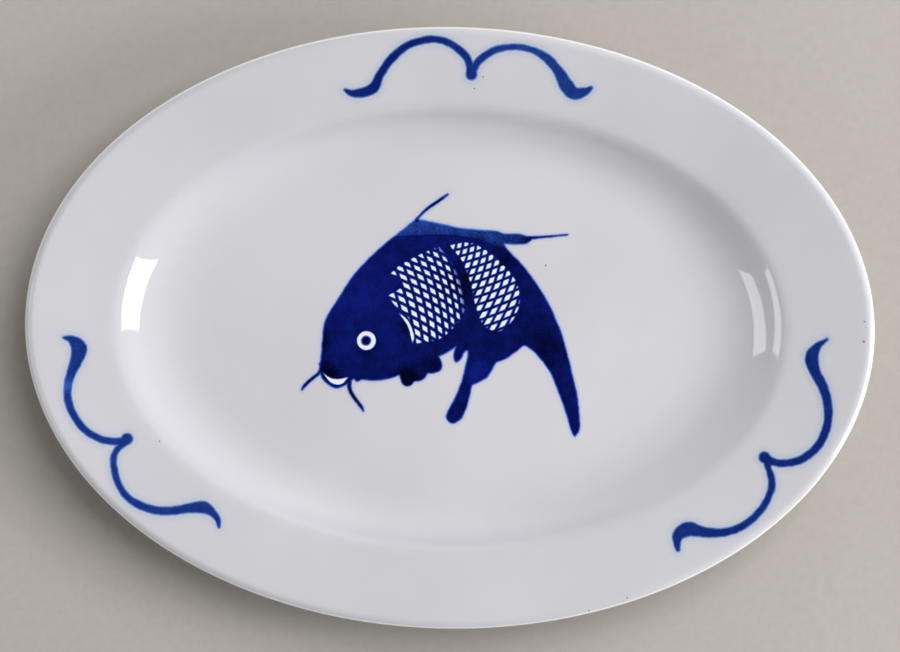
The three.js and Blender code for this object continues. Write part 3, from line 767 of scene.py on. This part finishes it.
def on_rim(dot_angle, points):
    """Places on the platter of points that are given along the rim."""
    points = np.asarray(points, float)
    from_dot = np.interp(math.radians(dot_angle), rim_angles, rim_lengths)
    angle = np.interp(from_dot - points[:, 0], rim_lengths, rim_angles)
    outwards = np.column_stack([np.cos(angle), np.sin(angle)]) / RIM_MIDDLE
    outwards /= np.linalg.norm(outwards, axis=1)[:, None]
    place = RIM_MIDDLE * np.column_stack([np.cos(angle), np.sin(angle)]) + outwards * points[:, 1:2]
    return np.column_stack([place, points[:, 2:]])


def to_scroll(dot_angle, dot, strokes):
    """A function for the distance from places to a scroll."""
    lines = [smooth(on_rim(dot_angle, points)) for points in strokes]
    middle = on_rim(dot_angle, [dot])[0]

    def distance(x, y):
        return np.minimum.reduce(
            [to_disc(x, y, middle, SCROLL_DOT / 2), *(to_line(x, y, line) for line in lines)]
        )

    return distance


scroll_shapes = {side: to_scroll(*scroll) for side, scroll in scrolls.items()}
scroll_cobalt = cobalt_paint(
    "scroll_cobalt", colour(52, 90, 178), colour(7, 29, 106), cloud=0.3, waver=0.65, fringe=SCROLL_BLEED
)
for side, shape in scroll_shapes.items():
    piece = painted(
        f"painted_scroll_{side}", f"rim_scroll_{side}",
        lambda x, y: shape(x, y) - SCROLL_MARGIN, SCROLL_GRID, SCROLL_LIFT,
        depth=lambda x, y: -shape(x, y),
        load=brush_load(scroll_washes),
        reserve=lambda x, y: np.full(x.shape, -1.0),
    )
    piece.data.materials.append(scroll_cobalt)


# The glaze over the face
# Clear glaze, poured over the painted body and fired to a glassy coat. It covers the face, the lip and
# the outside down to the foot, and shows the clay as a cool white, tinted where the scrolls have bled.

GLAZE_GIRTH_STEPS = 464
INNER_RINGS = 3  # every third ring is enough for the side on the clay
FACE_TURN = 0.2  # how far up the surface faces, where the marks of the face are full
# The lip's paler edge is partly the glaze breaking thin over the white clay and partly a painted highlight,
# which lifts the shade on the edge turned from the light.
LIP_TOP = (4, 3)  # below the lip's height, where its white edge sets in and where it is full
LIP_OUTSIDE, LIP_UNDERSIDE = (0.85, 0.55), (-0.4, 0)  # the same, by how far up the surface faces
PATCH_EDGE = 0.4  # in which a white patch fades out
FLECK_CORE = 0.4  # share of a fleck's radius that has its full colour

# Flecks in the glaze: place, radius and colour.
iron_brown = colour(150, 112, 78)
ash_grey = colour(120, 118, 122)
flecks = [
    (34.6, 23.4, 0.5, iron_brown), (10.4, 90.4, 0.4, iron_brown), (7.3, 86.2, 0.4, iron_brown),
    (148.3, -2.4, 0.6, ash_grey), (148.4, 4.8, 0.4, ash_grey), (65.2, -95.6, 0.4, ash_grey),
    (51.6, -100.5, 0.4, ash_grey), (-103.9, -42.7, 0.4, ash_grey),
]
# Patches of white under the carp, which show in its reserves: place and radius.
white_patches = [(-9, 12, 19), (16, 11, 13.5), (7, 26, 9.5), (16, 22, 8), (*eye, 3.9), (-41, -17.9, 4.2)]


def clear_glaze():
    """The glaze as it shows the clay, with white reserves, blue halos, flecks, and a paler lip that is
    partly painted highlight.
    """
    material, tree, shader, place = new_material("clear_glaze_on_clay")
    surface = node(tree, "ShaderNodeGroup", node_tree=skin).outputs
    tone = surface["Color"]
    facing = node(tree, "ShaderNodeNewGeometry").outputs["Normal"]
    up = node(tree, "ShaderNodeSeparateXYZ", {0: facing}).outputs["Z"]
    face_only = ramp(tree, up, 0, FACE_TURN)
    white = node(tree, "ShaderNodeGroup", node_tree=reserve).outputs["Color"]
    for x, y, radius in white_patches:
        inside = ramp(tree, from_place(tree, place, x, y), radius, radius - PATCH_EDGE)
        tone = mixed(tree, maths(tree, "MULTIPLY", inside, face_only), tone, white)
    tone = mixed(tree, face_only, tone, bled(tree, tone, attribute(tree, "from_scroll"), *SCROLL_BLEED))
    height = node(tree, "ShaderNodeSeparateXYZ", {0: place}).outputs["Z"]
    # Painted highlight, in part: the lip's turned edge is lightened, which also stands for the glaze
    # breaking thin there.
    on_lip = ramp(tree, height, *((LIP_HEIGHT - below) * MM for below in LIP_TOP))
    turned = maths(tree, "MULTIPLY", ramp(tree, up, *LIP_OUTSIDE), ramp(tree, up, *LIP_UNDERSIDE))
    tone = mixed(tree, maths(tree, "MULTIPLY", on_lip, turned), tone, colour(246, 246, 248))
    for x, y, radius, dark in flecks:
        inside = ramp(tree, from_place(tree, place, x, y), radius, radius * FLECK_CORE)
        tone = mixed(tree, maths(tree, "MULTIPLY", inside, face_only), tone, dark)
    feed(tree, shader, Base_Color=tone, Roughness=surface["Roughness"], Normal=surface["Normal"])
    return material


(top_in, top_height), (low_in, low_height) = FOOT_PROFILE[:2]
foot_side = oval(FLOOR - top_in, top_height)
bare_in = np.interp(BARE_FOOT, [low_height, top_height], [low_in, top_in])
bare_edge = oval(FLOOR - bare_in, BARE_FOOT)
under_glaze = np.vstack([face, lip_section()[1:], under_side, foot_side, bare_edge])
glaze_section = np.vstack([
    offset(under_glaze, GLAZE_SEAT + GLAZE_THICKNESS),
    offset(under_glaze, GLAZE_SEAT)[::-INNER_RINGS],
])
glaze = lofted("glazed_face", glaze_section, GLAZE_GIRTH_STEPS)
places = np.empty(len(glaze.data.vertices) * 3, np.float32)
glaze.data.vertices.foreach_get("co", places)
x, y, _ = places.reshape(-1, 3).T / MM
from_scroll = np.minimum.reduce([shape(x, y) for shape in scroll_shapes.values()])
carry(glaze, "from_scroll", from_scroll)
glaze.data.materials.append(clear_glaze())
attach(glaze, "root")
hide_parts("face_glaze")


# The glaze inside the foot
# The same clear glaze, poured onto the base inside the foot ring and fired with the rest of the coat.
# The foot keeps it off the kiln shelf.

BASE_GLAZE_EDGE = 5.7  # in from the edge of the floor
BASE_RINGS = 8  # on each side of the glaze
FIRST_BASE_RING = 0.1  # share of the whole reach
LOWER_EDGE = 0.995  # share of the whole reach, where the lower side starts
EDGE_SWELL = 0.05  # of the edge, at half its thickness


def base_glaze():
    material, tree, shader, _ = new_material("clear_glaze_on_base")
    surface = node(tree, "ShaderNodeGroup", node_tree=skin).outputs
    tone = surface["Color"]
    feed(tree, shader, Base_Color=tone, Roughness=surface["Roughness"], Normal=surface["Normal"])
    return material


upper_height = FOOT_PROFILE[-1][1] - GLAZE_SEAT
lower_height = upper_height - GLAZE_THICKNESS
base_reach = FLOOR - BASE_GLAZE_EDGE
upper_shares = np.linspace(FIRST_BASE_RING, 1, BASE_RINGS)
lower_shares = np.linspace(LOWER_EDGE, FIRST_BASE_RING, BASE_RINGS)
base_section = [oval((0, 0), upper_height)]
base_section += [oval(base_reach * share, upper_height) for share in upper_shares]
base_section += [oval(base_reach + EDGE_SWELL, upper_height - GLAZE_THICKNESS / 2)]
base_section += [oval(base_reach * share, lower_height) for share in lower_shares]
base_section += [oval((0, 0), lower_height)]
base = lofted("glazed_base", np.array(base_section), BODY_GIRTH_STEPS)
base.data.materials.append(base_glaze())
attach(base, "root")
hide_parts("base_glaze")


# The table, the light and the camera
# A plain pale table top under a dark ceiling. A wide light above the upper right gives most of the
# light and no reflection. A softbox on the right and a card on the left show in the glaze. The camera
# looks down from overhead.

TABLE_SIZE = 6.0
CEILING_GLOW, HORIZON_GLOW = 0.03, 0.94
CAMERA_PLACE = (0.00003, 0.00065, 0.9213)
CAMERA_TURN = 1.0  # degrees


def table_top():
    material, tree, shader, place = new_material("table_top")
    fine = ramp(tree, noise(tree, place, scale=300, detail=4), 0.3, 0.7)
    feed(tree, shader, Base_Color=mixed(tree, fine, colour(182, 176, 169), colour(186, 180, 173)))
    shader.inputs["Roughness"].default_value = 0.7
    return material


def direction(azimuth, elevation):
    """The way to a light, by its degrees round from +X and up from the table."""
    a, e = math.radians(azimuth), math.radians(elevation)
    return Vector((math.cos(a) * math.cos(e), math.sin(a) * math.cos(e), math.sin(e)))


def softbox(name, azimuth, elevation, distance, width, height, watts):
    """A plain rectangle of light that faces the platter, sized and placed in metres."""
    light = bpy.data.lights.new(name, "AREA")
    light.shape = "RECTANGLE"
    light.size = width
    light.size_y = height
    light.energy = watts
    lamp = bpy.data.objects.new(name, light)
    towards = direction(azimuth, elevation)
    lamp.location = towards * distance
    lamp.rotation_euler = towards.to_track_quat("Z", "Y").to_euler()
    lamp.visible_camera = False
    bpy.context.scene.collection.objects.link(lamp)
    return lamp


half = TABLE_SIZE / 2
table_corners = [(-half, -half, 0), (half, -half, 0), (half, half, 0), (-half, half, 0)]
table_mesh = bpy.data.meshes.new("table_top")
table_mesh.from_pydata(table_corners, [], [(0, 1, 2, 3)])
table_mesh.materials.append(table_top())
table = bpy.data.objects.new("table_top", table_mesh)
bpy.context.scene.collection.objects.link(table)

softbox(
    "softbox_right", azimuth=-12.5, elevation=24, distance=1.6, width=0.8, height=0.51, watts=12.1
)
reflector = softbox(
    "reflector_left", azimuth=189, elevation=34, distance=1.6, width=0.9, height=0.38, watts=5.3
)
reflector.visible_diffuse = False
wide_light = softbox(
    "wide_light", azimuth=40, elevation=55, distance=2.2, width=1.6, height=1.6, watts=36.2
)
wide_light.visible_glossy = False
world = bpy.data.worlds.new("studio")
bpy.context.scene.world = world
world.use_nodes = True
studio = world.node_tree
towards = node(studio, "ShaderNodeTexCoord").outputs["Generated"]
upwards = node(studio, "ShaderNodeSeparateXYZ", {0: towards}).outputs["Z"]
background = studio.nodes["Background"]
background.inputs["Color"].default_value = (1, 1, 1, 1)
glow = ramp(studio, upwards, 1, 0, CEILING_GLOW, HORIZON_GLOW)
studio.links.new(glow, background.inputs["Strength"])

lens = bpy.data.cameras.new("overhead")
lens.lens = 100
lens.sensor_width = 36
camera = bpy.data.objects.new("overhead", lens)
camera.location = CAMERA_PLACE
camera.rotation_euler = (0, 0, math.radians(CAMERA_TURN))
bpy.context.scene.collection.objects.link(camera)
bpy.context.scene.camera = camera
bpy.context.scene.view_settings.view_transform = "Standard"
